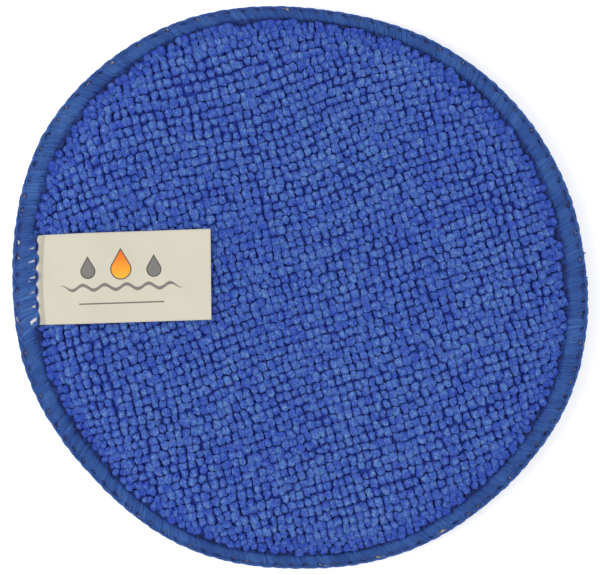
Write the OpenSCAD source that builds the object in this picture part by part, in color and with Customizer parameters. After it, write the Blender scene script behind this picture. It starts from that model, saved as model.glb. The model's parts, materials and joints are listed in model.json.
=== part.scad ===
// Round reversible terry hand pad: two looped cloth discs over a foam disc, closed by a
// three-thread overlock seam that also catches one folded cloth label.
// +Z up, origin under the centre of the flat resting face. Millimetres.

/* [Pad] */
// Overall diameter, over the stitched edge
pad_d = 127; // [110:1:150]
// Overall thickness, lying at rest
pad_h = 15; // [13:0.5:22]
// Radius at which the flat face ends and the shoulder begins
flat_r = 46; // [38:1:46]
// Thickness of one terry disc, loops included
cover_t = 2.5; // [1.5:0.1:3]

/* [Seam] */
// Width of the overlocked band, seen from above
band_w = 5.2; // [4.5:0.1:5.6]
// Thickness of foam left between the discs inside the band
pinch_foam = 0.8; // [0.4:0.1:1.2]
// Thickness of one terry disc squeezed inside the band
pinch_cover = 1.3; // [1.2:0.1:1.6]
// Height of the looper thread lying on the cloth
thread_t = 0.45; // [0.3:0.05:0.6]
// Number of overlock stitches round the edge
stitches = 120; // [90:6:150]
// One needle leg is drawn for every so many stitches
leg_every = 4; // [3:1:6]

/* [Label] */
// Length of the label's free part, from the line it folds back on to its tip
label_len = 36.4; // [25:0.2:40]
// Width of the label
label_w = 19.8; // [12:0.1:22]
// Thickness of the folded label, both plies
label_t = 0.42; // [0.36:0.02:0.48]
// Turn of the label about the vertical, from the radius
label_turn = 1.9; // [-3:0.1:3]
// Sideways offset of the label's centre line from the pad's centre
label_off = 3.1; // [-3:0.1:3.2]

/* [Hidden] */
$fn = 120;
mid = pad_h / 2;
edge_r = pad_d / 2;
cut_r = edge_r - 0.8;
needle_r = edge_r - band_w;
seam_in = needle_r - 2.3;
band_h = pinch_foam / 2 + pinch_cover;
face_h = mid;
foam_h = mid - cover_t;
needle_t = 0.2;
leg_r = 0.15;
hole_r = 0.2;
legs = floor(stitches / leg_every);
tooth_r = needle_r + needle_t + 0.05;
notch_r = edge_r - 1.9;
clear = 0.3;
label_z = band_h - 0.04 - label_t / 2;
hinge_u = -(needle_r - 2.8);
hinge_z = band_h + thread_t + 0.3;
steps = 14;

// share of the full rise reached at radius r: 1 on the flat face, 0 inside the band
function rise(r) = r <= flat_r ? 1 : r >= seam_in ? 0
    : (1 + cos(180 * (r - flat_r) / (seam_in - flat_r))) / 2;
function cover_top(r) = band_h + (face_h - band_h) * rise(r);
function foam_top(r) = pinch_foam / 2 + (foam_h - pinch_foam / 2) * rise(r);
shoulder = [for (i = [0 : steps]) flat_r + (seam_in - flat_r) * i / steps];

// puts what is drawn along the label's own length, width and height in place
module on_label() {
    rotate([0, 0, label_turn]) translate([0, label_off, 0]) children();
}

// the straight needle legs that go down through the whole sandwich
module needle_legs(r, half) {
    for (i = [0 : legs - 1])
        rotate([0, 0, (i + 0.5) * 360 / legs])
            translate([needle_r, 0, mid - half])
                cylinder(r = r, h = 2 * half, $fn = 24);
}

// one terry disc, upper side: domed by the foam, squeezed flat under the stitches
module cover_disc() {
    rotate_extrude() polygon(concat(
        [[0, mid + foam_top(0)]],
        [for (r = shoulder) [r, mid + foam_top(r)]],
        [[cut_r, mid + foam_top(cut_r)], [cut_r, mid + cover_top(cut_r)]],
        [for (i = [steps : -1 : 0]) [shoulder[i], mid + cover_top(shoulder[i])]],
        [[0, mid + cover_top(0)]]));
}

// the hollow that the label presses into the cloth under the seam
module label_hollow() {
    on_label()
        translate([-edge_r, -label_w / 2 - 0.1, mid + label_z - label_t / 2])
            cube([edge_r + hinge_u - 0.4, label_w + 0.2, 2]);
}

module top_cover() {
    color([0.24, 0.34, 0.62])
    difference() {
        cover_disc();
        label_hollow();
        needle_legs(hole_r, mid);
    }
}

module bottom_cover() {
    color([0.24, 0.34, 0.62])
    difference() {
        translate([0, 0, pad_h]) mirror([0, 0, 1]) cover_disc();
        needle_legs(hole_r, mid);
    }
}

// foam disc, squeezed thin where the seam closes over its edge
module foam_core() {
    color([0.87, 0.82, 0.68])
    difference() {
        rotate_extrude() polygon(concat(
            [[0, mid - foam_top(0)]],
            [for (r = shoulder) [r, mid - foam_top(r)]],
            [[cut_r, mid - foam_top(cut_r)], [cut_r, mid + foam_top(cut_r)]],
            [for (i = [steps : -1 : 0]) [shoulder[i], mid + foam_top(shoulder[i])]],
            [[0, mid + foam_top(0)]]));
        needle_legs(hole_r, mid);
    }
}

// needle thread: a line on each face joined by its legs
module needle_thread() {
    lie = band_h + needle_t + 0.02;
    color([0.17, 0.27, 0.52])
    union() {
        for (side = [-1, 1])
            translate([0, 0, mid + side * lie])
                rotate_extrude() translate([needle_r, 0]) circle(r = needle_t, $fn = 24);
        needle_legs(leg_r, lie);
    }
}

// one looper thread, upper side: strands running in from the edge to the needle line, and
// its half of the chain round the edge
module looper() {
    r = 0.45;
    color([0.20, 0.31, 0.56])
    union() {
        translate([0, 0, mid + band_h])
            linear_extrude(thread_t) difference() {
                circle(r = edge_r - r - 0.2);
                polygon([for (i = [0 : 2 * stitches - 1])
                    let (a = i * 180 / stitches, q = i % 2 == 0 ? tooth_r : notch_r)
                    [q * cos(a), q * sin(a)]]);
            }
        rotate_extrude() polygon(concat(
            [[cut_r + 0.1, mid], [edge_r, mid]],
            [for (a = [0 : 15 : 90])
                [edge_r - r + r * cos(a), mid + band_h + thread_t - r + r * sin(a)]],
            [[edge_r - 1.4, mid + band_h + thread_t], [edge_r - 1.4, mid + band_h],
             [cut_r + 0.1, mid + band_h]]));
    }
}

module upper_looper_thread() {
    looper();
}

module lower_looper_thread() {
    translate([0, 0, pad_h]) mirror([0, 0, 1]) looper();
}

// the end of the label held under the stitches, stepping up out of them at its inner end
module label_sewn_end() {
    outer = -cut_r + 1.4;
    inner = hinge_u - label_t / 2 - 0.1;
    low = label_z - label_t / 2;
    step = hinge_z - 1.5 * label_t;
    color([0.87, 0.85, 0.78])
    difference() {
        on_label() translate([0, label_w / 2, mid]) rotate([90, 0, 0])
            linear_extrude(label_w) polygon([
                [outer, low], [hinge_u - 0.9, low], [inner, step],
                [inner, step + label_t], [hinge_u - 1, low + label_t],
                [outer, low + label_t]]);
        needle_legs(hole_r, mid);
    }
}

// the free part of the label: two plies joined by the fold at its tip, lying over the crown
module label_flap() {
    tip = hinge_u + label_len;
    ply = label_t * 0.4;
    first = hinge_u + 0.9;
    us = [for (i = [0 : 20]) first + (tip - first) * i / 20];
    function under(u) = mid + cover_top(-u) + clear;
    color([0.87, 0.85, 0.78])
    on_label() translate([0, label_w / 2, 0]) rotate([90, 0, 0]) linear_extrude(label_w)
        difference() {
            union() {
                translate([hinge_u, mid + hinge_z]) circle(r = label_t / 2, $fn = 32);
                polygon(concat(
                    [[hinge_u, mid + hinge_z - label_t / 2 + 0.02]],
                    [for (u = us) [u, under(u)]],
                    [for (i = [20 : -1 : 0]) [us[i], under(us[i]) + label_t]],
                    [[hinge_u, mid + hinge_z + label_t / 2 - 0.02]]));
            }
            polygon(concat(
                [for (i = [1 : 19]) [us[i], under(us[i]) + ply]],
                [for (i = [19 : -1 : 1]) [us[i], under(us[i]) + label_t - ply]]));
        }
}

top_cover();
bottom_cover();
foam_core();
needle_thread();
upper_looper_thread();
lower_looper_thread();
label_sewn_end();
label_flap();
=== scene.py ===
"""A round reversible terry hand pad: looped covers, foam core, overlocked edge, folded label."""

import functools
import json
import math

import bpy
import numpy as np
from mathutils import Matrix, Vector


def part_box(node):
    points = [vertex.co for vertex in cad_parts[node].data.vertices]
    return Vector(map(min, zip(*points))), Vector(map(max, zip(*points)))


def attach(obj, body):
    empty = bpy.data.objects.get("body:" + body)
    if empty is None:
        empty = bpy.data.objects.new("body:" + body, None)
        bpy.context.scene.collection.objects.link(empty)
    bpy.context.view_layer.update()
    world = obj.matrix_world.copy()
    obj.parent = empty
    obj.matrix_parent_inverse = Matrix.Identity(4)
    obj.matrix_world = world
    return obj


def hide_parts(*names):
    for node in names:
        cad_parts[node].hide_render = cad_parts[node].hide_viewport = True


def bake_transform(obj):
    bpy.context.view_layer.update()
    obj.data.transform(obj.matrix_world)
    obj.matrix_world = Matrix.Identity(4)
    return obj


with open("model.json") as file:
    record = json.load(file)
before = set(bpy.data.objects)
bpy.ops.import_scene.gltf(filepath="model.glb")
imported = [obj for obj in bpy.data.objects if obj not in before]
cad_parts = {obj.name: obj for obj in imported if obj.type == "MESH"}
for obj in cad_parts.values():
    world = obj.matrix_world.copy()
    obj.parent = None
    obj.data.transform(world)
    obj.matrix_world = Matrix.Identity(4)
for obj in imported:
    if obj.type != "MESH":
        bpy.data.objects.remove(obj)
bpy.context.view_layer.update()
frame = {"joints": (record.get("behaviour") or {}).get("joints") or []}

MM = 0.001

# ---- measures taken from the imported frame, in millimetres -------------------------------------
EDGE_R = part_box("upper_looper_thread")[1].x / MM
CUT_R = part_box("foam_core")[1].x / MM
NEEDLE_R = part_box("needle_thread")[1].x / MM - 0.2
PAD_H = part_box("top_cover")[1].z / MM
MID = PAD_H / 2
HINGE = [c / MM for c in frame["joints"][0]["pos_m"]]
HINGE_AXIS = frame["joints"][0]["axis"]
LABEL_DIR = np.array([-HINGE_AXIS[1], HINGE_AXIS[0]])
LABEL_SIDE = np.array([-LABEL_DIR[1], LABEL_DIR[0]])
LABEL_V = float(np.dot(HINGE[:2], LABEL_SIDE))
HINGE_U = float(np.dot(HINGE[:2], LABEL_DIR))
FLAP_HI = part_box("label_flap")[1]
LABEL_W = 19.8
LABEL_TIP = (FLAP_HI.x / MM - (LABEL_V + LABEL_W / 2) * LABEL_SIDE[0]
             + LABEL_W * LABEL_SIDE[0]) / LABEL_DIR[0]

# ---- terry: the loops' height, rows, columns and room -----------------------------------------
PILE = 1.7
FACE_GROUND = MID - PILE
BAND_GROUND = 1.2
SHOULDER_IN, SHOULDER_OUT = 45.0, 57.6
ROW_DEG, COLUMN_DEG = 18.0, 105.0
ROW_STEP, COLUMN_STEP = 1.893, 1.722
TUFT_R = NEEDLE_R - 0.35
CELL_GAP = (-0.13, 0.04)
TUFT_WIDE, TUFT_LONG = 1.12, 1.28
SWELL_MOST = 0.75

# ---- overlock stitches, their pitch and slant measured at SEAM_R --------------------------------
STITCHES = 120
SEAM_R, LEAN_R = 60.5, 61.8
LOOPER_SLANT = 0.34
LOBE = 0.75
STITCH_TURN = math.radians(1.3)
STITCH_DRIFT = 0.075
LONG_STITCHES = math.radians(172.2)
LOOSE_STITCH = 62
LABEL_STITCH = 56
LABEL_MIDDLE_DEG, LABEL_REACH_DEG = 179.5, 10.5

# ---- label: its plies, its tip, and where seam, print and bend lie along it ---------------------
PLY = 0.13
PLY_GAP = 0.15
LABEL_LIFT = 0.42
TIP_OUT, TIP_SKEW, TIP_RISE = 0.36, 0.0236, 1.0
LABEL_END = CUT_R - 1.2
SEAM_ALONG = LABEL_END - 57.3
PRINT_ALONG = LABEL_END - 38.4
RULE_BELOW, RULE_HALF = 5.6, 9.4

# ---- stage -------------------------------------------------------------------------------------
FLOOR_HALF = 900
SENSOR, LENS = 36, 135
VIEW_MARGIN = 1.048
VIEW_SHIFT = (0.00055, -0.00042)


# ---- small helpers ---------------------------------------------------------------------------
def smooth(t):
    """Soft step from 0 to 1."""
    t = np.clip(t, 0, 1)
    return t * t * (3 - 2 * t)


def put_mesh(name, verts, faces, smooth_shaded=True):
    """A mesh object from millimetre points and same-sided faces."""
    verts = np.asarray(verts, np.float32) * MM
    faces = np.asarray(faces, np.int32)
    sides = faces.shape[1]
    me = bpy.data.meshes.new(name)
    me.vertices.add(len(verts))
    me.vertices.foreach_set("co", verts.ravel())
    me.loops.add(faces.size)
    me.loops.foreach_set("vertex_index", faces.ravel())
    me.polygons.add(len(faces))
    me.polygons.foreach_set("loop_start", np.arange(0, faces.size, sides, dtype=np.int32))
    me.polygons.foreach_set("use_smooth", np.full(len(faces), smooth_shaded))
    me.update(calc_edges=True)
    ob = bpy.data.objects.new(name, me)
    bpy.context.scene.collection.objects.link(ob)
    return ob


def point_value(ob, name, values):
    """A number at each point, for the materials to read."""
    at = ob.data.attributes.new(name, "FLOAT", "POINT")
    at.data.foreach_set("value", np.asarray(values, np.float32))


def joined(parts):
    """(verts, faces) of several (verts, faces) as one."""
    verts, faces, start = [], [], 0
    for v, f in parts:
        verts.append(v)
        faces.append(f + start)
        start += len(v)
    return np.concatenate(verts), np.concatenate(faces)


def grid_faces(rows, columns, wrap_columns=False, wrap_rows=False):
    """Four-sided faces between the points of a grid, closed on itself where it wraps."""
    i = np.arange(rows if wrap_rows else rows - 1)
    j = np.arange(columns if wrap_columns else columns - 1)
    i, j = np.meshgrid(i, j, indexing="ij")
    i2, j2 = (i + 1) % rows, (j + 1) % columns
    quads = [i * columns + j, i * columns + j2, i2 * columns + j2, i2 * columns + j]
    return np.stack([q.ravel() for q in quads], 1)


def halved(quads):
    """Each four-sided face as two triangles."""
    return np.concatenate([quads[:, [0, 1, 2]], quads[:, [0, 2, 3]]])


def waves(x, y, seed, count, longest, shortest):
    """Smooth deterministic noise over the plane, roughly from -1 to 1."""
    rng = np.random.default_rng(seed)
    total = np.zeros(np.broadcast(x, y).shape)
    for _ in range(count):
        length = rng.uniform(shortest, longest)
        a, ph = rng.uniform(0, 2 * math.pi, 2)
        total += np.sin(2 * math.pi * (x * math.cos(a) + y * math.sin(a)) / length + ph)
    return total / math.sqrt(count)


# ---- the pad's own unevenness ----------------------------------------------------------------
def outline_share(theta):
    """How far the sewn outline is from a circle, as a share of its radius."""
    terms = [(0.022, 2, 58), (0.0085, 3, -39), (0.0055, 4, 161), (0.003, 5, 99),
             (0.0025, 7, 65), (0.0030, 8, -165), (0.0020, 1, 47)]
    return sum(share * np.cos(n * theta + math.radians(turn)) for share, n, turn in terms)


def band_push(r, th):
    """How far the band's inner edge is pushed out, above and below, where the band is narrow."""
    narrow = 0.85 - 0.85 * np.cos(2 * th)
    return narrow * np.interp(r, [46, NEEDLE_R, EDGE_R - 1.2, EDGE_R], [0, 1, 0.15, 0])


def uneven(co):
    """Moves points of the true round pad to the real, hand-sewn outline."""
    co = np.array(co, float)
    r = np.hypot(co[..., 0], co[..., 1])
    th = np.arctan2(co[..., 1], co[..., 0])
    new = (r + band_push(r, th)) * (1 + outline_share(th) * smooth(r / EDGE_R * 1.4))
    k = np.where(r > 1e-6, new / np.maximum(r, 1e-6), 1.0)
    co[..., 0] *= k
    co[..., 1] *= k
    return co


def plain_radius(x, y):
    """The radius that a real place had on the true round pad, before uneven() moved it."""
    r, th = np.hypot(x, y), np.arctan2(y, x)
    r = r / (1 + outline_share(th) * smooth(r / EDGE_R * 1.4))
    return r - band_push(r, th)


def label_place(co):
    """(u, v) of points: along the label from the pad's middle, and across it from its centre."""
    u = co[..., 0] * LABEL_DIR[0] + co[..., 1] * LABEL_DIR[1]
    v = co[..., 0] * LABEL_SIDE[0] + co[..., 1] * LABEL_SIDE[1] - LABEL_V
    return u, v


# ---- the ground cloth's form -----------------------------------------------------------------
RINGS = np.concatenate([np.linspace(0.5, 44, 16), np.linspace(46, CUT_R - 0.4, 18)])
SPOKES = 120


def ground_half(r):
    """Half thickness of the pad at its ground cloth, before it is simulated."""
    t = np.clip((r - SHOULDER_IN) / (SHOULDER_OUT - SHOULDER_IN), 0, 1)
    rise = (1 + np.cos(math.pi * t)) / 2
    return BAND_GROUND + (FACE_GROUND - BAND_GROUND) * rise


def start_form():
    """Both ground cloths as one closed shell, rings by spokes, a little slack and uneven."""
    th = np.arange(SPOKES) * 2 * math.pi / SPOKES
    r, t = np.meshgrid(RINGS, th, indexing="ij")
    x, y = r * np.cos(t), r * np.sin(t)
    half = ground_half(r) - 0.35 * smooth((SHOULDER_OUT - r) / 12)
    slack = 0.12 * smooth((SHOULDER_OUT - r) / 8)
    top = MID + half + slack * waves(x, y, 5, 7, 60, 18)
    low = MID - half + slack * waves(x, y, 9, 7, 60, 18)
    return np.stack([np.stack([x, y, top], -1), np.stack([x, y, low], -1)])


def shell_faces(rows, spokes):
    """Faces of a round two-sided shell, turned outwards: top, underside, middles and rim."""
    count = rows * spokes
    k = np.arange(1, spokes - 2, 2)
    middle = np.stack([0 * k, k + 2, k + 1, k], 1)
    up = np.concatenate([grid_faces(rows, spokes, wrap_columns=True), middle])
    down = up[:, ::-1] + count
    j = np.arange(spokes)
    a, b = (rows - 1) * spokes + j, (rows - 1) * spokes + (j + 1) % spokes
    rim = np.stack([a, a + count, b + count, b], 1)[:, ::-1]
    return np.concatenate([up, down, rim])[:, ::-1]


def inflate(form):
    """Cloth under the foam's push, held at the seam: the form the covers really take."""
    ob = put_mesh("form", form.reshape(-1, 3), shell_faces(len(RINGS), SPOKES))
    held = ob.vertex_groups.new(name="seam")
    r = np.hypot(form[..., 0], form[..., 1]).ravel()
    held.add(np.nonzero(r > SHOULDER_OUT - 0.5)[0].tolist(), 1.0, "REPLACE")
    held.add(np.nonzero(r < 1.0)[0].tolist(), 0.02, "REPLACE")
    cloth = ob.modifiers.new("cloth", "CLOTH")
    cloth.settings.vertex_group_mass = "seam"
    cloth.settings.quality = 6
    cloth.settings.mass = 0.2
    cloth.settings.tension_stiffness = 25
    cloth.settings.compression_stiffness = 25
    cloth.settings.shear_stiffness = 10
    cloth.settings.bending_stiffness = 1.5
    cloth.settings.effector_weights.gravity = 0
    cloth.settings.use_pressure = True
    cloth.settings.uniform_pressure_force = 0.9
    scene = bpy.context.scene
    scene.frame_start, scene.frame_end = 1, 16
    for f in range(1, 17):
        scene.frame_set(f)
    done = ob.evaluated_get(bpy.context.evaluated_depsgraph_get())
    co = np.zeros(len(done.data.vertices) * 3)
    done.data.vertices.foreach_get("co", co)
    bpy.data.objects.remove(ob)
    scene.frame_set(1)
    move = co.reshape(form.shape) / MM - form
    far = np.linalg.norm(move, axis=-1, keepdims=True)
    return form + move * np.minimum(1, SWELL_MOST / np.maximum(far, 1e-9))


def settled_form():
    """The covers' ground cloths as they lie: flat on the floor below, nearly flat on top."""
    form = start_form()
    form = inflate(form)
    form[1, ..., 2] = np.maximum(form[1, ..., 2], PILE + 0.02)
    form[0, ..., 2] = np.minimum(form[0, ..., 2], PAD_H - PILE + 0.25)
    return form


FORM = settled_form()


def on_form(x, y, side):
    """Points on one ground cloth over plan places x, y."""
    r, th = np.hypot(x, y), np.mod(np.arctan2(y, x), 2 * math.pi)
    i = np.interp(r, RINGS, np.arange(len(RINGS)))
    i0 = np.minimum(i.astype(int), len(RINGS) - 2)
    fi = i - i0
    j = th * SPOKES / (2 * math.pi)
    j0 = np.floor(j).astype(int)
    fj = j - j0
    j0 %= SPOKES
    z = FORM[side, ..., 2]
    za = z[i0, j0] * (1 - fj) + z[i0, (j0 + 1) % SPOKES] * fj
    zb = z[i0 + 1, j0] * (1 - fj) + z[i0 + 1, (j0 + 1) % SPOKES] * fj
    return np.stack([x, y, za * (1 - fi) + zb * fi], -1)


def form_normal(x, y, side):
    """The ground cloth's outward direction at plan places x, y."""
    e = 0.8
    dx = on_form(x + e, y, side) - on_form(x - e, y, side)
    dy = on_form(x, y + e, side) - on_form(x, y - e, side)
    n = np.cross(dx, dy) if side == 0 else np.cross(dy, dx)
    return n / np.linalg.norm(n, axis=-1, keepdims=True)


# ---- the overlock band's section and the label's lie -------------------------------------------
def band_profile():
    """The line a looper strand lies on, from the middle of the rim over to the needle line."""
    pts = np.array([[EDGE_R - 0.22, 0.0], [EDGE_R - 0.28, 0.6], [EDGE_R - 0.75, 1.35],
                    [EDGE_R - 1.6, 1.92], [EDGE_R - 3.0, 2.18], [EDGE_R - 4.0, 1.94],
                    [EDGE_R - 4.5, 1.62], [EDGE_R - 4.95, 1.38], [NEEDLE_R - LOBE, 1.34]])
    t = np.linspace(0, len(pts) - 1, 200)
    i = np.clip(t.astype(int), 0, len(pts) - 2)
    f = (t - i)[:, None]
    p0, p1 = pts[np.maximum(i - 1, 0)], pts[i]
    p2, p3 = pts[i + 1], pts[np.minimum(i + 2, len(pts) - 1)]
    curve = 0.5 * (2 * p1 + (p2 - p0) * f + (2 * p0 - 5 * p1 + 4 * p2 - p3) * f ** 2
                   + (3 * p1 - p0 - 3 * p2 + p3) * f ** 3)
    step = np.concatenate([[0], np.cumsum(np.linalg.norm(np.diff(curve, axis=0), axis=1))])
    return curve[:, 0], curve[:, 1], step


BAND_R, BAND_Z, BAND_S = band_profile()


def label_height(u, v):
    """Height of the label's underside over its own length u and width v."""
    x = u * LABEL_DIR[0] + (v + LABEL_V) * LABEL_SIDE[0]
    y = u * LABEL_DIR[1] + (v + LABEL_V) * LABEL_SIDE[1]
    r = np.where(x < 0, plain_radius(np.minimum(x, -1e-3), y), 0)
    lie = MID + ground_half(r) + PILE * np.interp(r, [54, 57.8], [1.0, 0.6])
    lie = lie + np.interp(r, [47, 54.5], [0.30, 0.08])
    touching = np.interp(r, BAND_R[::-1], BAND_Z[::-1]) + LABEL_LIFT - 0.51
    sunk = BAND_GROUND + 0.08
    held = MID + sunk + np.maximum(touching - sunk, 0) * smooth((60.3 - r) / 0.7)
    out = smooth((57.25 - r) / 1.1)
    groove = 0.20 * np.exp(-((r - 57.12) / 0.26) ** 2) * (x < 0)
    sway = 0.10 * waves(u, v + LABEL_V, 61, 4, 45, 22) * smooth((u + 56) / 10)
    sway = sway + TIP_RISE * smooth((u - LABEL_TIP + 16) / 16)
    return held * (1 - out) + lie * out - groove + sway


# ---- terry covers ----------------------------------------------------------------------------
def tuft_template(around, rings):
    """A ball's points and triangles, squarer in plan than a ball."""
    verts = [[0, 0, 1]]
    for k in range(1, rings):
        a = math.radians(160) * k / (rings - 1)
        s, c = math.sin(a), math.cos(a)
        for m in range(around):
            b = 2 * math.pi * m / around
            cb, sb = math.cos(b), math.sin(b)
            square = (abs(cb) ** 2.6 + abs(sb) ** 2.6) ** (-1 / 2.6)
            wide = math.copysign(abs(s) ** 0.8, s) * square
            verts.append([wide * cb, wide * sb, math.copysign(abs(c) ** 0.85, c)])
    verts.append([0, 0, -1])
    last = 1 + (rings - 2) * around
    tri = []
    for m in range(around):
        after = (m + 1) % around
        tri.append([0, 1 + m, 1 + after])
        tri.append([len(verts) - 1, last + after, last + m])
    for k in range(rings - 2):
        for m in range(around):
            a, b = 1 + k * around + m, 1 + k * around + (m + 1) % around
            tri.append([a, a + around, b + around])
            tri.append([a, b + around, b])
    return np.array(verts), np.array(tri)


def curls(unit, n, rng, count=11, wide=0.34):
    """How near each tuft's points are to one of its curled fibre bundles, 0 to 1."""
    way = unit / np.linalg.norm(unit, axis=1, keepdims=True)
    near = np.zeros((n, len(unit)))
    for _ in range(count):
        d = rng.normal(0, 1, (n, 3)) * [1, 1, 0.8]
        d[:, 2] = np.abs(d[:, 2])
        d /= np.linalg.norm(d, axis=1, keepdims=True)
        far2 = 2 - 2 * (d @ way.T)
        near = np.maximum(near, np.exp(-far2 / (2 * wide ** 2)) * rng.uniform(0.75, 1, (n, 1)))
    return near


def tuft_places(side, rng):
    """Plan places of the loops of one face: crooked rows and columns, crowded at the seam."""
    a, b = math.radians(ROW_DEG), math.radians(COLUMN_DEG)
    i, j = np.meshgrid(np.arange(-60, 61), np.arange(-60, 61), indexing="ij")
    i = i + 0.12 * (j % 2)
    x = (i * COLUMN_STEP * math.cos(a) + j * ROW_STEP * math.cos(b)).ravel()
    y = (i * COLUMN_STEP * math.sin(a) + j * ROW_STEP * math.sin(b)).ravel()
    wx = 0.6 * waves(x, y, 21 + side, 5, 60, 30)
    wy = 0.6 * waves(x, y, 31 + side, 5, 60, 30)
    x = x + wx + rng.normal(0, 0.15, x.shape)
    y = y + wy + rng.normal(0, 0.14, y.shape)
    if side:
        x = -x
    r = np.hypot(x, y)
    squeezed = np.where(r > TUFT_R - 2.4, TUFT_R - 2.4 + (r - TUFT_R + 2.4) * 0.62, r)
    keep = squeezed < TUFT_R + 0.2 * waves(x, y, 41, 4, 8, 3)
    k = (squeezed / r)[keep]
    return x[keep] * k, y[keep] * k


def label_ceiling(co):
    """How high the loops may stand: the label's underside where it lies on them."""
    u, v = label_place(uneven(co))
    beside = np.maximum(np.abs(v) - LABEL_W / 2 - 0.1, 0)
    past = np.maximum(u - LABEL_TIP - TIP_OUT - 0.1, 0)
    rise = 6.0 - 4.6 * smooth((np.hypot(u, v) - 53) / 4)
    return label_height(u, v) - 0.04 + rise * (beside + past)


def cell_share(plan, x, y, along, across, size, gap):
    """How far each loop's points are drawn in, so that it takes its own share of the room."""
    far = (x[:, None] - x).astype(np.float32) ** 2 + (y[:, None] - y).astype(np.float32) ** 2
    near = np.argpartition(far, 9, axis=1)[:, :9]
    dx, dy = x[near] - x[:, None], y[near] - y[:, None]
    dist = np.maximum(np.hypot(dx, dy), 1e-6)
    a = (dx * along[:, :1] + dy * along[:, 1:2]) / dist
    b = (dx * across[:, :1] + dy * across[:, 1:2]) / dist
    share = size[:, None] / (size[:, None] + size[near])
    room = np.where(dist > 0.05, np.maximum(dist * share - gap[:, None], 0.3), 1e9)
    crowd = np.zeros(plan.shape[:2])
    for k in range(9):
        toward = plan[..., 0] * a[:, k:k + 1] + plan[..., 1] * b[:, k:k + 1]
        crowd += (np.maximum(toward, 0) / room[:, k:k + 1]) ** 9
    return (1 + crowd) ** (-1 / 9)


def tufts(side):
    """All the loops of one face: (verts, faces, height in the pile, curl, tone of each loop)."""
    rng = np.random.default_rng(101 + side)
    x, y = tuft_places(side, rng)
    n = len(x)
    unit, tri = tuft_template(18, 9) if side == 0 else tuft_template(14, 7)
    m = len(unit)
    up = form_normal(x, y, side)
    turn = math.radians(ROW_DEG) + rng.normal(0, 0.16, n)
    if side:
        turn = math.pi - turn
    flat = np.stack([np.cos(turn), np.sin(turn), np.zeros(n)], -1)
    along = flat - up * np.sum(flat * up, -1, keepdims=True)
    along /= np.linalg.norm(along, axis=-1, keepdims=True)
    across = np.cross(up, along)
    edge = smooth((np.hypot(x, y) - NEEDLE_R + 4.4) / 3.4)
    size = 1 + rng.normal(0, 0.10, n)
    su = TUFT_WIDE * size * (1 + rng.normal(0, 0.09, n)) * (1 - 0.15 * edge)
    sv = TUFT_LONG * size * (1 + rng.normal(0, 0.12, n)) * (1 - 0.20 * edge)
    sn = 0.5 * PILE * (1 + rng.normal(0, 0.05, n)) * (1 - 0.10 * edge)
    lift = PILE - sn - 0.02 - 0.12 * edge + rng.normal(0, 0.09, n)
    near = curls(unit, n, rng)
    lump = 0.80 + 0.30 * near
    for low, high, amount in [(1.5, 3.0, 0.07), (5, 9, 0.05), (10, 15, 0.035)]:
        for _ in range(2):
            d = rng.normal(0, 1, (n, 3))
            d *= (rng.uniform(low, high, n) / np.linalg.norm(d, axis=1))[:, None]
            lump += amount * np.sin(d @ unit.T + rng.uniform(0, 6.28, n)[:, None])
    lean = rng.normal(0, 0.13, (n, 2))
    shape = unit[None] * lump[..., None]
    base = on_form(x, y, side)
    round_plan = unit[None, :, :2] * np.stack([su, sv], -1)[:, None]
    share = cell_share(round_plan, x, y, along, across, size, rng.uniform(*CELL_GAP, n))
    plan = round_plan * (share * lump)[..., None] + lean[:, None] * shape[..., 2:]
    co = base[:, None] + along[:, None] * plan[..., :1] + across[:, None] * plan[..., 1:]
    co += up[:, None] * (shape[..., 2] * sn[:, None] + lift[:, None])[..., None]
    if side:
        co[..., 2] = np.maximum(co[..., 2], 0.0)
    else:
        co[..., 2] = np.minimum(co[..., 2], label_ceiling(co))
    from_axis = np.hypot(shape[..., 0], shape[..., 1])
    # painted shade: the pile value, which the material turns into colour, falls low on each loop and on
    # its sides
    height = np.clip((shape[..., 2] + 1) / 2, 0, 1) * (1 - 0.75 * smooth((from_axis - 0.5) / 0.42))
    # each loop's own random tone, with painted shade darkening the loops towards the seam
    tone = np.repeat(rng.uniform(0, 1, n) - 1.2 * edge, m)
    faces = (tri[None] + (np.arange(n) * m)[:, None, None]).reshape(-1, 3)
    return co.reshape(-1, 3), faces, height.ravel(), near.ravel(), tone


def ground_shell(side):
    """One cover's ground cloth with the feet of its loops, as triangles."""
    sign = -1 if side == 0 else 1
    outer, inner = FORM[side].copy(), FORM[side].copy()
    outer[..., 2] -= sign * 0.30 * smooth((SHOULDER_OUT - 0.6 - RINGS) / 2.0)[:, None]
    inner[..., 2] += sign * 0.5
    faces = shell_faces(len(RINGS), SPOKES)
    if side:
        faces = faces[:, ::-1]
    return np.stack([outer, inner]).reshape(-1, 3), halved(faces)


def cover(name, side):
    """One terry cover: ground cloth and loops, with what its material reads."""
    gv, gf = ground_shell(side)
    tv, tf, height, curl, tone = tufts(side)
    verts, faces = joined([(gv, gf), (tv, tf)])
    ob = put_mesh(name, uneven(verts), faces)
    point_value(ob, "pile", np.concatenate([np.zeros(len(gv)), height]))
    point_value(ob, "curl", np.concatenate([np.zeros(len(gv)), curl]))
    point_value(ob, "tone", np.concatenate([np.full(len(gv), 0.3), tone]))
    return ob


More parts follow.
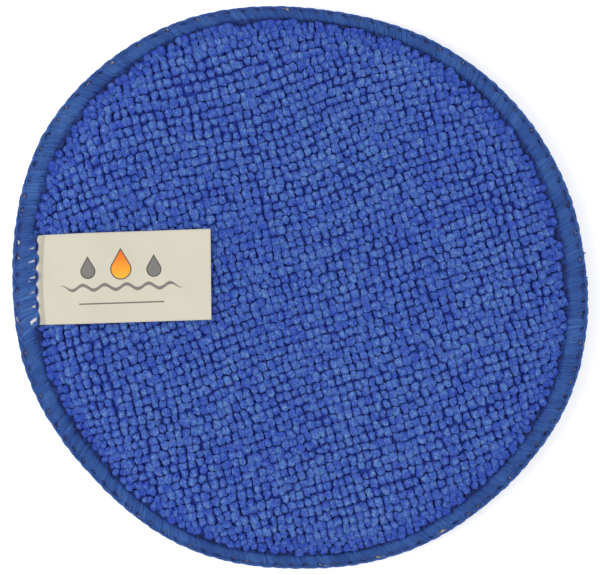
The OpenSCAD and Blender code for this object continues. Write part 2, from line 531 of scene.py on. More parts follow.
# ---- thread ----------------------------------------------------------------------------------
def tubes(paths, radius, around=3, core=None):
    """Thin closed tubes along many paths; core is a ring (radius, height) they wind round."""
    paths = np.asarray(paths, float)
    n, m = paths.shape[:2]
    tangent = np.gradient(paths, axis=1)
    tangent /= np.maximum(np.linalg.norm(tangent, axis=-1, keepdims=True), 1e-9)
    if core is None:
        away = np.zeros_like(paths) + [0.03, 0.02, 1.0]
    else:
        flat = paths[..., :2] / np.linalg.norm(paths[..., :2], axis=-1, keepdims=True)
        ring = np.concatenate([flat * core[0], np.full((n, m, 1), core[1])], -1)
        away = paths - ring
    side = np.cross(tangent, away)
    side /= np.maximum(np.linalg.norm(side, axis=-1, keepdims=True), 1e-9)
    up = np.cross(side, tangent)
    radius = np.broadcast_to(np.asarray(radius, float), (n, m)).copy()
    a = np.arange(around) * 2 * math.pi / around
    ring = np.cos(a)[:, None] * side[..., None, :] + np.sin(a)[:, None] * up[..., None, :]
    co = paths[..., None, :] + ring * radius[..., None, None]
    wall = halved(grid_faces(m, around, wrap_columns=True)[:, ::-1])
    end = np.array([[0, k, k + 1] for k in range(1, around - 1)])
    tube = np.concatenate([wall, end, end[:, ::-1] + (m - 1) * around])
    faces = (tube[None] + (np.arange(n) * m * around)[:, None, None]).reshape(-1, 3)
    return co.reshape(-1, 3), faces


def stitch_habits(rng):
    """How each stitch differs: tip, shift, slant, lean, its eye's size, length and rise, and waist."""
    k = np.arange(STITCHES)
    tip = rng.normal(0, 0.22, STITCHES)
    shift = rng.normal(0, 0.10, STITCHES)
    slant = LOOPER_SLANT + rng.normal(0, 0.05, STITCHES)
    place = np.degrees(2 * math.pi * k / STITCHES + STITCH_TURN)
    over = np.abs(place - LABEL_MIDDLE_DEG) < LABEL_REACH_DEG
    eye_size = np.where(over, 0.30, 0.06) * rng.uniform(0.65, 1.15, STITCHES)
    eye_long, eye_rise = np.full(STITCHES, 3.1), np.full(STITCHES, 2.4)
    lean = np.zeros(STITCHES)
    waist = rng.uniform(0.16, 0.46, STITCHES)
    waist[LABEL_STITCH:LABEL_STITCH + 2] = 0.6
    waist[LOOSE_STITCH - 1:LOOSE_STITCH + 2] = -0.3
    loose = LOOSE_STITCH
    eye_size[loose], eye_long[loose], eye_rise[loose] = 0.42, 5.4, 1.0
    lean[loose], shift[loose] = 0.22, 0.2
    return tip, shift, slant, lean, eye_size, eye_long, eye_rise, waist


def looper_loops(rng, nested, layers, leg_points=9):
    """Nested hairpin filaments of the looper's loops: (paths, stitch, how far out in it)."""
    half = math.pi * SEAM_R / STITCHES
    k = np.arange(STITCHES)
    total = BAND_S[-1]
    tip, shift, slant, lean, eye_size, eye_long, eye_rise, waist = stitch_habits(rng)
    paths, owner, outward = [], [], []
    for layer in range(layers):
        for j in range(nested - layer):
            h = half * (j + 0.55 + 0.5 * layer) / nested
            h = h * (1 + rng.normal(0, 0.03, STITCHES)) + rng.normal(0, 0.035, STITCHES)
            inset = (half - h) * 0.42 + 0.06 * layer + tip + rng.normal(0, 0.05, STITCHES)
            deep = np.minimum(h * 0.8 + 0.25, 1.2)
            reach = total - np.maximum(inset, 0) - deep
            leg = np.linspace(0, 1, leg_points)[None] * reach[:, None]
            round_a = np.linspace(0, math.pi / 2, 5)[1:]
            turn = reach[:, None] + deep[:, None] * np.sin(round_a)[None]
            s = np.concatenate([leg, turn, turn[:, -2::-1], leg[:, ::-1]], 1)
            c = np.cos(round_a)
            w = np.concatenate([np.ones(leg_points), c, -c[-2::-1], -np.ones(leg_points)])
            r = np.interp(s, BAND_S, BAND_R)
            z = np.interp(s, BAND_S, BAND_Z)
            gather = 1.02 - waist[:, None] * np.exp(-((s - 1.95) / 0.42) ** 2)
            at, spots = np.linspace(0, 1, s.shape[1]), np.linspace(0, 1, 5)
            wobble, bob = (np.stack([np.interp(at, spots, row) for row in knots])
                           for knots in rng.normal(0, 1, (2, STITCHES, 5)))
            eye = eye_size[:, None] * smooth((s - total + eye_long[:, None]) / eye_rise[:, None]) ** 2
            loose = 1 - 0.85 * smooth((s - total + 2.4) / 1.2)
            eye = eye * (1 - h / half)[:, None]
            side = (h[:, None] * gather + eye) * w[None] + 0.14 * wobble * loose + shift[:, None]
            side = side + slant[:, None] * (r - SEAM_R)
            side = side + lean[:, None] * np.minimum(r - LEAN_R, 0)
            th = 2 * math.pi * k[:, None] / STITCHES + STITCH_TURN + side / r
            puff = 0.13 * layer + 0.035 * bob + 0.05 * rng.normal(0, 1, (STITCHES, 1))
            zz = z + puff * np.clip(z, 0, 1)
            rr = r + puff * np.clip(1 - z, 0, 1)
            paths.append(np.stack([rr * np.cos(th), rr * np.sin(th), MID + zz], -1))
            owner.append(k)
            outward.append(h / half)
    return np.concatenate(paths), np.concatenate(owner), np.concatenate(outward)


def rim_chain(rng, phase):
    """The looper's run along the rim from knot to knot, a soft rope of filaments."""
    steps = STITCHES * 8
    th = np.arange(steps + 1) * 2 * math.pi / steps
    s = (th - STITCH_TURN) * STITCHES + phase
    paths = []
    sway = waves(61 * np.cos(th), 61 * np.sin(th), 51, 5, 25, 6)
    for _ in range(16):
        a = rng.uniform(0, 2 * math.pi)
        q = rng.uniform(0.05, 0.40)
        twist = a + s * 0.5
        r = EDGE_R - 0.52 + 0.10 * np.cos(s) + 0.05 * sway + q * np.cos(twist)
        z = 1.26 + 0.16 * np.sin(s) + 0.10 * sway + q * np.sin(twist)
        paths.append(np.stack([r * np.cos(th), r * np.sin(th), MID + z], -1))
    return np.array(paths)


def stray_ends(rng, count):
    """Short filaments that have worked loose along the rim and the band."""
    th = rng.uniform(0, 2 * math.pi, count)
    s0 = rng.uniform(0.2, BAND_S[-1] * 0.9, count)
    t = np.linspace(0, 1, 6)
    long = rng.uniform(0.5, 1.7, count)
    out = rng.uniform(0.1, 0.6, count)
    r = np.interp(s0, BAND_S, BAND_R)
    z = np.interp(s0, BAND_S, BAND_Z)
    go = rng.uniform(-1, 1, count) * long
    bend = rng.normal(0, 0.35, count)
    rr = r[:, None] + out[:, None] * np.clip(1.2 - z, 0, 1)[:, None] * t ** 1.3
    zz = z[:, None] + (0.10 + out[:, None] * np.clip(z, 0, 1)[:, None] * 0.8) * t
    rr = rr + bend[:, None] * t ** 2
    tt = th[:, None] + go[:, None] * t / r[:, None]
    return np.stack([rr * np.cos(tt), rr * np.sin(tt), MID + zz], -1)


def thread_mass():
    """The looper's thickness under its top filaments: a closed, ridged ring."""
    columns = STITCHES * 10
    th = np.arange(columns) * 2 * math.pi / columns
    first, last = 2.6, BAND_S[-1] - 2.6
    s = np.linspace(first, last, 12)
    r = np.concatenate([np.interp(s, BAND_S, BAND_R), np.linspace(NEEDLE_R + 2.0, EDGE_R - 2.0, 5)])
    z = np.concatenate([np.interp(s, BAND_S, BAND_Z) - 0.12, np.full(5, BAND_GROUND)])
    rr, tt = np.meshgrid(r, th, indexing="ij")
    zz = np.repeat(z[:, None], columns, 1)
    lean = tt - LOOPER_SLANT * (rr - SEAM_R) / SEAM_R
    x, y = 60 * np.cos(lean), 60 * np.sin(lean)
    ridge = 0.05 * waves(x, y, 71, 6, 1.3, 0.5) + 0.06 * waves(x, y, 72, 6, 9, 3)
    zz = zz + ridge * (zz > BAND_GROUND + 0.05)
    co = np.stack([rr * np.cos(tt), rr * np.sin(tt), MID + zz], -1)
    faces = grid_faces(len(r), columns, wrap_columns=True, wrap_rows=True)
    return co.reshape(-1, 3), halved(faces)


def fluff(rng, count):
    """Loose filaments lying over the band at all angles, most of them along its strands."""
    th = rng.uniform(0, 2 * math.pi, count)
    s0 = rng.uniform(0.9, BAND_S[-1] - 2.3, count)
    long = rng.uniform(0.7, 1.9, count)
    a = rng.normal(0.25, 0.55, count)
    t = np.linspace(-0.5, 0.5, 5)
    s = np.clip(s0[:, None] + (long * np.cos(a))[:, None] * t, 0.3, BAND_S[-1] - 0.3)
    r, z = np.interp(s, BAND_S, BAND_R), np.interp(s, BAND_S, BAND_Z)
    bow = rng.normal(0, 0.35, count)[:, None] * (t ** 2 - 0.25)
    go = (long * np.sin(a))[:, None] * t + bow
    tt = th[:, None] + (go + LOOPER_SLANT * (r - SEAM_R)) / r
    rise = rng.uniform(0.05, 0.22, count)[:, None] * (1 - 2.4 * t ** 2)
    return np.stack([r * np.cos(tt), r * np.sin(tt), MID + z + rise], -1)


def thread_nubs(rng):
    """The two small snagged nubs of thread that stand out of the right-hand edge."""
    paths = []
    for deg, size in [(7.6, 0.75), (2.4, 0.6)]:
        for _ in range(7):
            t = np.linspace(0, 1, 9)
            a = rng.uniform(0, 6.28)
            b = rng.uniform(0.5, 1.0) * size
            r = EDGE_R - 0.3 + b * np.sin(math.pi * t)
            th = math.radians(deg) + 0.55 * size * (t - 0.5) * np.cos(a + 5 * t) / EDGE_R
            z = MID + 0.5 + 0.3 * np.sin(a + 4 * t)
            paths.append(np.stack([r * np.cos(th), r * np.sin(th), z], -1))
    return np.array(paths)


def drifted(co):
    """Moves thread points round the pad: the stitches are longer at the label, as sewn there."""
    r, th = np.hypot(co[..., 0], co[..., 1]), np.arctan2(co[..., 1], co[..., 0])
    th = th + STITCH_DRIFT * np.sin(th - LONG_STITCHES)
    co[..., 0], co[..., 1] = r * np.cos(th), r * np.sin(th)
    return co


def over_label(co):
    """Lifts thread points that cross the label's sewn end by the label's thickness."""
    r = np.hypot(co[..., 0], co[..., 1])
    across = np.abs(label_place(uneven(co))[1])
    over = smooth((LABEL_W / 2 + 0.7 - across) / 1.4) * (co[..., 0] < 0)
    co[..., 2] += LABEL_LIFT * over * smooth((62.2 - r) / 1.2) * (co[..., 2] > MID + 0.6)
    return co


def looper(name, side):
    """One looper thread: loops on its face, its half of the rim's chain, and loose ends."""
    rng = np.random.default_rng(301 + side)
    loops, owner, outward = looper_loops(rng, 11 if side == 0 else 9, 2)
    mass_verts, mass_faces = thread_mass()
    fuzz = fluff(rng, 4200 if side == 0 else 2600)
    chain = rim_chain(rng, 0.0 if side == 0 else math.pi)
    stray = stray_ends(rng, 260)
    core = (SEAM_R, MID)
    near_turn = 1 - np.abs(np.linspace(-1, 1, loops.shape[1]))
    thick = (0.085 if side == 0 else 0.10) + 0.035 * smooth((near_turn - 0.4) / 0.3)
    sets = [tubes(loops, thick, 3, core), tubes(chain, 0.10, 3, core),
            tubes(stray, 0.022, 3, core), (mass_verts, mass_faces), tubes(fuzz, 0.032, 3, core)]
    # each stitch's own random tone, with painted shade on its outermost filaments where it meets the next
    # stitch
    shade = (rng.uniform(0, 1, STITCHES)[owner] * 0.40 + rng.uniform(-0.05, 0.5, len(owner))
             - 0.30 * smooth((outward - 0.7) / 0.3))
    tones = [np.repeat(shade, loops.shape[1] * 3),
             np.repeat(rng.uniform(0.1, 0.9, len(chain)), chain.shape[1] * 3),
             np.repeat(rng.uniform(0.5, 1, len(stray)), stray.shape[1] * 3),
             np.full(len(mass_verts), 0.25),
             np.repeat(rng.uniform(0.2, 1, len(fuzz)), fuzz.shape[1] * 3)]
    if side == 0:
        nubs = thread_nubs(rng)
        sets.append(tubes(nubs, 0.09, 3, core))
        tones.append(np.repeat(rng.uniform(0.4, 1, len(nubs)), nubs.shape[1] * 3))
    verts, faces = joined(sets)
    verts = drifted(verts)
    if side:
        verts[:, 2] = 2 * MID - verts[:, 2]
        faces = faces[:, ::-1]
    else:
        verts = over_label(verts)
    r = np.hypot(verts[:, 0], verts[:, 1])
    clear = np.abs(label_place(uneven(verts))[1]) > LABEL_W / 2 + 0.3
    # painted shade: strands are darkened in the groove beside the terry away from the label, in the crease
    # under the rim's rope, and at each stitch's purl hole
    shaded = 0.9 * smooth((EDGE_R - 4.0 - r) / 0.6) * (clear | (verts[:, 0] > 0) | (side > 0))
    crease_shade = 0.25 * smooth((r - EDGE_R + 1.75) / 0.5)
    hole_shade = 1.1 * np.exp(-((r - EDGE_R + 1.25) / 0.30) ** 2)
    at_side = np.repeat(smooth((outward - 0.62) / 0.3), loops.shape[1] * 3)
    strands = len(at_side)
    shaded[:strands] += crease_shade[:strands] + hole_shade[:strands] * at_side
    ob = put_mesh(name, uneven(verts), faces)
    point_value(ob, "tone", np.concatenate(tones) - shaded)
    return ob


def needle_line():
    """The needle thread, two plies twisted, lying on each face and dipping at every stitch."""
    steps = STITCHES * 12
    th = np.arange(steps + 1) * 2 * math.pi / steps
    s = (th - STITCH_TURN - LOOPER_SLANT * (NEEDLE_R - SEAM_R) / NEEDLE_R) * STITCHES
    rng = np.random.default_rng(77)
    paths = []
    for sign in (1, -1):
        for ply in (0, math.pi):
            dip = (0.5 + 0.5 * np.cos(s)) ** 2
            r = NEEDLE_R - 0.16 - 0.16 * np.cos(s) + 0.09 * np.cos(s * 3.5 + ply)
            r = r + 0.05 * waves(60 * np.cos(th), 60 * np.sin(th), 3, 5, 30, 9)
            z = 1.36 + 0.44 * dip + 0.06 * np.sin(s * 3.5 + ply)
            paths.append(np.stack([r * np.cos(th), r * np.sin(th), MID + sign * z], -1))
    verts, faces = tubes(np.array(paths), 0.13, 5)
    ob = put_mesh("needle_stitches", uneven(over_label(drifted(verts))), faces)
    # a real thread, coloured far darker than the loopers; its dark colour also paints the shade of the
    # groove it lies in
    tone = np.repeat(rng.uniform(-1.3, -1.0, 4), (steps + 1) * 5)
    point_value(ob, "tone", tone)
    return ob


# ---- foam ------------------------------------------------------------------------------------
def foam_disc():
    """The foam between the covers, its cut edge swelling out a little between the stitches."""
    r = np.concatenate([RINGS[:-1], [CUT_R - 0.5, CUT_R - 0.12, CUT_R + 0.12]])
    th = np.arange(SPOKES * 4) * 2 * math.pi / (SPOKES * 4)
    rr, tt = np.meshgrid(r, th, indexing="ij")
    ragged = 0.32 * waves(62 * np.cos(tt), 62 * np.sin(tt), 43, 9, 9, 2.5) - 0.32
    rr = rr + ragged * smooth((rr - 61.5) / 1.0)
    x, y = rr * np.cos(tt), rr * np.sin(tt)
    tops = []
    for side in (0, 1):
        q = np.minimum(rr, RINGS[-1])
        z = on_form(q * np.cos(tt), q * np.sin(tt), side)[..., 2]
        z = z + (-0.55 if side == 0 else 0.55)
        swell = smooth((rr - CUT_R + 0.9) / 0.6)
        proud = 0.78 + 0.32 * waves(62 * np.cos(tt), 62 * np.sin(tt), 44, 9, 12, 4)
        z = z + (proud if side == 0 else -proud) * swell
        z = z + 0.06 * waves(x, y, 41 + side, 8, 2.4, 0.9) * smooth((rr - 58) / 3)
        z[-1] = MID + (0.5 if side == 0 else -0.5)
        tops.append(np.stack([x, y, z], -1))
    faces = shell_faces(len(r), len(th))
    return put_mesh("foam_disc", uneven(np.stack(tops).reshape(-1, 3)), faces)


# ---- label -----------------------------------------------------------------------------------
def label_strip():
    """One strip of cloth folded double: upper ply, fold at the tip, lower ply."""
    inner, tip = -LABEL_END, LABEL_TIP + TIP_OUT
    along = np.concatenate([np.linspace(inner, -53.5, 66), np.linspace(-53.2, tip - 0.2, 50)])
    bend = np.linspace(-math.pi / 2, math.pi / 2, 9)[1:-1]
    fold_r = (PLY + PLY_GAP) / 2
    u = np.concatenate([along, tip - 0.2 + fold_r * np.cos(bend), along[::-1]])
    flat = np.ones(len(along))
    rise = np.concatenate([2 * fold_r * flat, fold_r - fold_r * np.sin(bend), 0 * flat])
    v = np.linspace(-LABEL_W / 2, LABEL_W / 2, 41)
    uu, vv = np.meshgrid(u, v, indexing="ij")
    near = smooth((uu + 57.0) / 6)
    uu = uu + TIP_SKEW * vv * np.clip((uu + 50) / (tip + 50), 0, 1)
    z = label_height(uu, vv) + PLY / 2
    z = z + rise[:, None] * (0.9 + 0.25 * near * (1 + 0.5 * np.sin(vv * 0.21 + 1)))
    mid = np.stack([uu, vv, z], -1)
    du = np.gradient(mid, axis=0)
    dv = np.gradient(mid, axis=1)
    n = np.cross(du, dv)
    n /= np.linalg.norm(n, axis=-1, keepdims=True)
    length = np.concatenate([[0], np.cumsum(np.hypot(np.diff(u), np.diff(rise)))])
    return mid + n * PLY / 2, mid - n * PLY / 2, length, v


def make_label():
    """The folded strip, and its length laid flat."""
    up, low, length, v = label_strip()
    rows, cols = up.shape[:2]
    count = rows * cols
    verts = np.concatenate([up.reshape(-1, 3), low.reshape(-1, 3)])
    a = grid_faces(rows, cols)
    b = a[:, ::-1] + count
    edges = []
    for j in (0, cols - 1):
        i = np.arange(rows - 1) * cols + j
        q = np.stack([i, i + cols, i + cols + count, i + count], 1)
        edges.append(q[:, ::-1] if j == 0 else q)
    for i in (0, rows - 1):
        j = i * cols + np.arange(cols - 1)
        q = np.stack([j, j + 1, j + 1 + count, j + count], 1)
        edges.append(q if i == 0 else q[:, ::-1])
    faces = np.concatenate([a, b] + edges)[:, ::-1]
    place = verts[:, :1] * LABEL_DIR + (LABEL_V + verts[:, 1:2]) * LABEL_SIDE
    ob = put_mesh("label_strip", np.concatenate([place, verts[:, 2:]], 1), faces)
    lay = np.stack(np.meshgrid(length, v, indexing="ij"), -1).reshape(-1, 2)
    lay = np.concatenate([lay, lay])
    uv = ob.data.uv_layers.new(name="lay")
    idx = np.zeros(len(ob.data.loops), np.int32)
    ob.data.loops.foreach_get("vertex_index", idx)
    uv.data.foreach_set("uv", lay[idx].astype(np.float32).ravel())
    point_value(ob, "outer", np.concatenate([np.ones(count), np.zeros(count)]))
    return ob, float(length[-1])


# ---- materials -------------------------------------------------------------------------------
class Nodes:
    """Short calls for building a material's nodes."""

    def __init__(self, name):
        self.mat = bpy.data.materials.new(name)
        self.mat.use_nodes = True
        self.tree = self.mat.node_tree
        self.shader = self.tree.nodes["Principled BSDF"]
        where = self.new("ShaderNodeTexCoord")
        self.place = where.outputs["Object"]
        self.uv = where.outputs["UV"]

    def new(self, kind):
        return self.tree.nodes.new(kind)

    def link(self, a, b):
        if hasattr(a, "links"):
            self.tree.links.new(a, b)
        else:
            b.default_value = a

    def math(self, op, a, b=0.0, clamp=False):
        n = self.new("ShaderNodeMath")
        n.operation = op
        n.use_clamp = clamp
        self.link(a, n.inputs[0])
        self.link(b, n.inputs[1])
        return n.outputs[0]

    def total(self, *parts):
        """Values, each times its weight, added up."""
        products = [self.math("MULTIPLY", value, weight) for value, weight in parts]
        return functools.reduce(lambda a, b: self.math("ADD", a, b), products)

    def value(self, name):
        n = self.new("ShaderNodeAttribute")
        n.attribute_name = name
        return n.outputs["Fac"]

    def noise(self, per_mm, detail=2.0, rough=0.5, stretch=None):
        n = self.new("ShaderNodeTexNoise")
        at = self.place
        if stretch:
            m = self.new("ShaderNodeMapping")
            self.link(at, m.inputs["Vector"])
            m.vector_type = "TEXTURE"
            m.inputs["Rotation"].default_value = (0, 0, stretch[3])
            m.inputs["Scale"].default_value = stretch[:3]
            at = m.outputs[0]
        self.link(at, n.inputs["Vector"])
        n.inputs["Scale"].default_value = per_mm * 1000
        n.inputs["Detail"].default_value = detail
        n.inputs["Roughness"].default_value = rough
        return n.outputs["Fac"]

    def cells(self, per_mm):
        n = self.new("ShaderNodeTexVoronoi")
        self.link(self.place, n.inputs["Vector"])
        n.inputs["Scale"].default_value = per_mm * 1000
        return n.outputs["Distance"]

    def ramp(self, fac, stops):
        n = self.new("ShaderNodeValToRGB")
        self.link(fac, n.inputs["Fac"])
        bar = n.color_ramp.elements
        for i, (at, colour) in enumerate(stops):
            e = bar[i] if i < 2 else bar.new(at)
            e.position = at
            e.color = (*colour, 1)
        return n.outputs["Color"]

    def mix(self, fac, a, b):
        n = self.new("ShaderNodeMix")
        n.data_type = "RGBA"
        self.link(fac, n.inputs["Factor"])
        self.link(a if hasattr(a, "links") else (*a, 1), n.inputs["A"])
        self.link(b if hasattr(b, "links") else (*b, 1), n.inputs["B"])
        return n.outputs["Result"]

    def bump(self, height, strength, distance_mm, under=None):
        n = self.new("ShaderNodeBump")
        n.inputs["Strength"].default_value = strength
        n.inputs["Distance"].default_value = distance_mm * MM
        self.link(height, n.inputs["Height"])
        if under:
            self.link(under, n.inputs["Normal"])
        return n.outputs["Normal"]

    def finish(self, colour, rough, normal, sheen=0.0, sheen_tint=(1, 1, 1), sheen_rough=0.5):
        s = self.shader.inputs
        self.link(colour, s["Base Color"])
        self.link(rough, s["Roughness"])
        self.link(normal, s["Normal"])
        s["Specular IOR Level"].default_value = 0.25
        s["Sheen Weight"].default_value = sheen
        s["Sheen Roughness"].default_value = sheen_rough
        s["Sheen Tint"].default_value = (*sheen_tint, 1)
        return self.mat


def terry_material():
    """Split microfibre: deep blue between and low on the loops as painted shade, paler where it curls up
    and at each bead's middle as painted highlight, light passing in.
    """
    n = Nodes("terry_microfibre")
    fibre = n.noise(4.2, 2.0, 0.6)
    strand = n.noise(1.5, 1.5, 0.55, stretch=(0.36, 1.1, 0.6, math.radians(ROW_DEG)))
    tangle = n.noise(1.5, 2.0, 0.55)
    bead = n.math("SUBTRACT", 1.0, n.math("MULTIPLY", n.cells(2.3), 1.35), clamp=True)
    patch = n.noise(0.05, 2.0)
    # painted shade and highlight: pile, curl and the beads' middles lighten the colour where a loop stands
    # up and curls, and darken it between
    lit = n.total((n.value("pile"), 0.40), (n.value("curl"), 0.44), (n.value("tone"), 0.15),
                  (fibre, 0.55), (strand, 0.85), (tangle, 0.50), (bead, 0.40), (patch, 0.22))
    lit = n.math("SUBTRACT", lit, 1.42, clamp=True)
    colour = n.ramp(lit, [(0.0, (0.024, 0.063, 0.415)), (1.0, (0.188, 0.350, 0.590)),
                          (0.26, (0.043, 0.099, 0.430)), (0.62, (0.088, 0.184, 0.482))])
    rough = n.math("ADD", n.math("MULTIPLY", fibre, 0.2), 0.78)
    normal = n.bump(strand, 0.8, 0.30)
    normal = n.bump(bead, 0.8, 0.22, normal)
    normal = n.bump(fibre, 0.8, 0.14, normal)
    n.shader.inputs["Subsurface Weight"].default_value = 0.7
    n.shader.inputs["Subsurface Radius"].default_value = (0.25, 0.45, 1.0)
    n.shader.inputs["Subsurface Scale"].default_value = 0.55 * MM
    return n.finish(colour, rough, normal, 0.06, (0.6, 0.75, 1.0), 0.4)


def thread_material():
    """Fluffed polyester thread, its filaments slightly different in tone, with painted shade in the band's
    groove, crease, purl holes and between stitches.
    """
    n = Nodes("overlock_thread")
    fibre = n.noise(5.0, 3.0, 0.6)
    patch = n.noise(0.12, 2.0)
    lit = n.total((n.value("tone"), 0.42), (fibre, 0.35), (patch, 0.30))
    colour = n.ramp(lit, [(0.0, (0.007, 0.017, 0.110)), (0.15, (0.015, 0.047, 0.245)),
                          (0.9, (0.105, 0.255, 0.575)), (0.5, (0.038, 0.118, 0.412))])
    rough = n.math("ADD", n.math("MULTIPLY", fibre, 0.25), 0.55)
    normal = n.bump(fibre, 0.4, 0.04)
    return n.finish(colour, rough, normal, 0.12, (0.6, 0.75, 1.0), 0.4)


def foam_material():
    """Open-celled polyurethane foam, beige, its cut edge torn and pored."""
    n = Nodes("cut_foam")
    pores = n.cells(3.2)
    fine = n.noise(5.0, 3.0, 0.6)
    # painted shade: each pore is darker towards its middle, where it is deepest
    deep = n.math("MULTIPLY", pores, 1.4, clamp=True)
    mixed = n.total((deep, 0.7), (fine, 0.4))
    colour = n.ramp(mixed, [(0.0, (0.20, 0.17, 0.11)), (1.0, (0.66, 0.61, 0.50)),
                            (0.45, (0.48, 0.43, 0.33))])
    rough = n.math("ADD", n.math("MULTIPLY", fine, 0.15), 0.8)
    normal = n.bump(deep, 0.8, 0.2)
    return n.finish(colour, rough, normal)


def label_material():
    """Cream woven satin tape: its nodes, cloth colour with painted light by the seam, places along and
    across, and weave.
    """
    n = Nodes("label_tape")
    split = n.new("ShaderNodeSeparateXYZ")
    n.link(n.uv, split.inputs[0])
    along, across = split.outputs[0], split.outputs[1]
    weave_a = n.math("SINE", n.math("MULTIPLY", along, 2 * math.pi / 0.22))
    weave_b = n.math("SINE", n.math("MULTIPLY", across, 2 * math.pi / 0.26))
    weave = n.math("MULTIPLY", weave_a, weave_b)
    fine = n.noise(3.0, 3.0, 0.6)
    soil = n.noise(0.09, 3.0, 0.55)
    tint = n.total((soil, 0.75), (fine, 0.25))
    cloth = n.ramp(tint, [(0.2, (0.53, 0.50, 0.40)), (0.8, (0.595, 0.565, 0.462)),
                          (0.5, (0.565, 0.535, 0.434))])
    # painted light: the cloth just past the seam is tinted pale lilac, as lit by blue light off the
    # threads
    shade = n.math("MULTIPLY", n.math("SUBTRACT", SEAM_ALONG + 0.5, along), 1.1, clamp=True)
    cloth = n.mix(n.math("MULTIPLY", shade, 0.9), cloth, (0.66, 0.60, 0.63))
    # painted light: the cloth showing between the seam's threads is taken near-white
    painted_light_under_seam = n.math("MULTIPLY", n.math("SUBTRACT", SEAM_ALONG - 0.4, along), 2.5, clamp=True)
    cloth = n.mix(painted_light_under_seam, cloth, (0.86, 0.88, 0.84))
    return n, cloth, along, across, weave, fine


def drop_inside(n, cx, cy, middle, level, size):
    """How far inside a drop a place is: a round foot under two straight sides that meet."""
    x = n.math("ABSOLUTE", n.math("SUBTRACT", cx, middle))
    y = n.math("SUBTRACT", cy, level)
    square = n.math("ADD", n.math("MULTIPLY", x, x), n.math("MULTIPLY", y, y))
    foot = n.math("SUBTRACT", size, n.math("SQRT", square))
    lean = n.math("ADD", n.math("MULTIPLY", x, 0.87), n.math("MULTIPLY", y, 0.5))
    sides = n.math("SUBTRACT", size, lean)
    below = n.math("LESS_THAN", y, size * 0.5)
    sides = n.math("SUBTRACT", sides, n.math("MULTIPLY", below, 9.0))
    return n.math("MAXIMUM", foot, sides)


def printed_label(fold_at):
    """The tape, printed on its outer side up to the fold: three drops, a wave and a rule."""
    n, cloth, along, across, weave, fine = label_material()
    cx = n.math("SUBTRACT", along, PRINT_ALONG)
    cy = n.math("SUBTRACT", across, 1.3)
    ax = n.math("ABSOLUTE", cx)
    colour = cloth
    fade = n.math("ADD", n.math("MULTIPLY", cy, 0.14), 0.30, clamp=True)
    warm = n.mix(fade, (0.86, 0.46, 0.03), (0.74, 0.09, 0.012))
    for middle, level, size, ink in ((-7.2, 0.2, 1.45, (0.17, 0.165, 0.155)), (0, 0.5, 2.1, warm),
                                     (7.2, 0.2, 1.45, (0.17, 0.165, 0.155))):
        inside = drop_inside(n, cx, cy, middle, level, size)
        rimmed = n.math("MULTIPLY", n.math("ADD", inside, 0.26), 12.0, clamp=True)
        colour = n.mix(rimmed, colour, (0.075, 0.07, 0.065))
        colour = n.mix(n.math("MULTIPLY", inside, 12.0, clamp=True), colour, ink)
    swing = n.math("MULTIPLY", n.math("SINE", n.math("MULTIPLY", cx, 2 * math.pi / 4.8)), 0.55)
    off = n.math("ABSOLUTE", n.math("SUBTRACT", n.math("ADD", cy, 3.35), swing))
    slim = n.math("MULTIPLY", n.math("SUBTRACT", 14.0, ax), 0.12)
    ink = n.math("MULTIPLY", n.math("SUBTRACT", n.math("MINIMUM", slim, 0.42), off), 12.0, clamp=True)
    colour = n.mix(n.math("MULTIPLY", ink, 0.9), colour, (0.13, 0.125, 0.12))
    line = n.math("SUBTRACT", 0.2, n.math("ABSOLUTE", n.math("ADD", across, RULE_BELOW)))
    line = n.math("MULTIPLY", n.math("MINIMUM", line, n.math("SUBTRACT", RULE_HALF, ax)), 12.0, clamp=True)
    colour = n.mix(n.math("MULTIPLY", line, 0.85), colour, (0.06, 0.06, 0.065))
    upper = n.math("MULTIPLY", n.math("GREATER_THAN", n.value("outer"), 0.5),
                   n.math("LESS_THAN", along, fold_at))
    colour = n.mix(upper, cloth, colour)
    rough = n.math("ADD", n.math("MULTIPLY", fine, 0.18), 0.48)
    normal = n.bump(weave, 0.25, 0.03)
    normal = n.bump(fine, 0.2, 0.04, normal)
    return n.finish(colour, rough, normal, 0.08)


def floor_material():
    """A pale board, faintly lit so that it comes out as white as the photograph's ground."""
    n = Nodes("pale_board")
    grain = n.noise(0.6, 3.0)
    colour = n.ramp(grain, [(0.3, (0.93, 0.93, 0.93)), (0.7, (0.95, 0.95, 0.95))])
    n.shader.inputs["Emission Color"].default_value = (1, 1, 1, 1)
    n.shader.inputs["Emission Strength"].default_value = 0.28
    return n.finish(colour, 0.85, n.bump(grain, 0.05, 0.05))


# ---- stage -----------------------------------------------------------------------------------
def make_floor():
    verts = [[x * FLOOR_HALF, y * FLOOR_HALF, 0] for x, y in ((-1, -1), (1, -1), (1, 1), (-1, 1))]
    ob = put_mesh("floor", verts, [[0, 1, 2, 3]], False)
    ob.data.materials.append(floor_material())


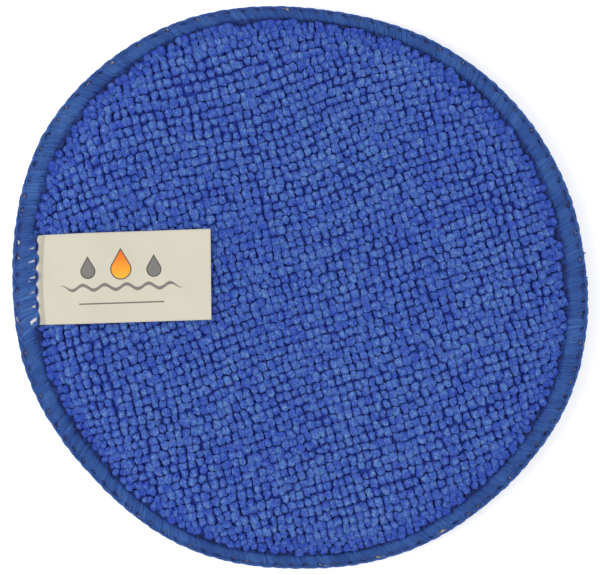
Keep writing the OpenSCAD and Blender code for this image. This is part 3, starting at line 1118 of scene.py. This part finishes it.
def area_light(name, place, size, watts):
    """A round white light at a place, turned to the pad."""
    data = bpy.data.lights.new(name, "AREA")
    data.shape = "DISK"
    data.size = size
    data.energy = watts
    ob = bpy.data.objects.new(name, data)
    ob.location = place
    ob.rotation_euler = Vector(place).to_track_quat("Z", "Y").to_euler()
    bpy.context.scene.collection.objects.link(ob)


def make_light():
    area_light("key", (-0.52, -0.06, 0.86), 0.40, 3.3)
    area_light("fill", (0.65, 0.35, 0.95), 0.8, 1.6)
    world = bpy.data.worlds.new("studio")
    world.use_nodes = True
    back = world.node_tree.nodes["Background"]
    back.inputs["Color"].default_value = (1, 1, 1, 1)
    back.inputs["Strength"].default_value = 0.88
    bpy.context.scene.world = world
    bpy.context.scene.view_settings.view_transform = "Standard"


def make_camera():
    """Straight above the pad, as in the photograph."""
    data = bpy.data.cameras.new("camera")
    data.sensor_width = SENSOR
    data.lens = LENS
    data.clip_start, data.clip_end = 0.01, 10
    ob = bpy.data.objects.new("camera", data)
    wide = 2 * EDGE_R * VIEW_MARGIN * MM
    ob.location = (*VIEW_SHIFT, MID * MM + wide * LENS / SENSOR)
    bpy.context.scene.collection.objects.link(ob)
    bpy.context.scene.camera = ob


# ---- build -----------------------------------------------------------------------------------
make_camera()

terry, thread = terry_material(), thread_material()

top = cover("top_terry", 0)
low = cover("bottom_terry", 1)
for piece, node in ((top, "top_cover"), (low, "bottom_cover")):
    piece.data.materials.append(terry)
    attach(piece, "pad")
    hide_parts(node)

foam = foam_disc()
foam.data.materials.append(foam_material())
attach(foam, "pad")
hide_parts("foam_core")

needle = needle_line()
upper = looper("upper_looper_loops", 0)
lower = looper("lower_looper_loops", 1)
for piece, node in ((needle, "needle_thread"), (upper, "upper_looper_thread"),
                    (lower, "lower_looper_thread")):
    piece.data.materials.append(thread)
    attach(piece, "pad")
    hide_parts(node)

label, strip_length = make_label()
label.data.materials.append(printed_label(strip_length / 2))
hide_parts("label_sewn_end", "label_flap")
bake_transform(label)

make_floor()
make_light()
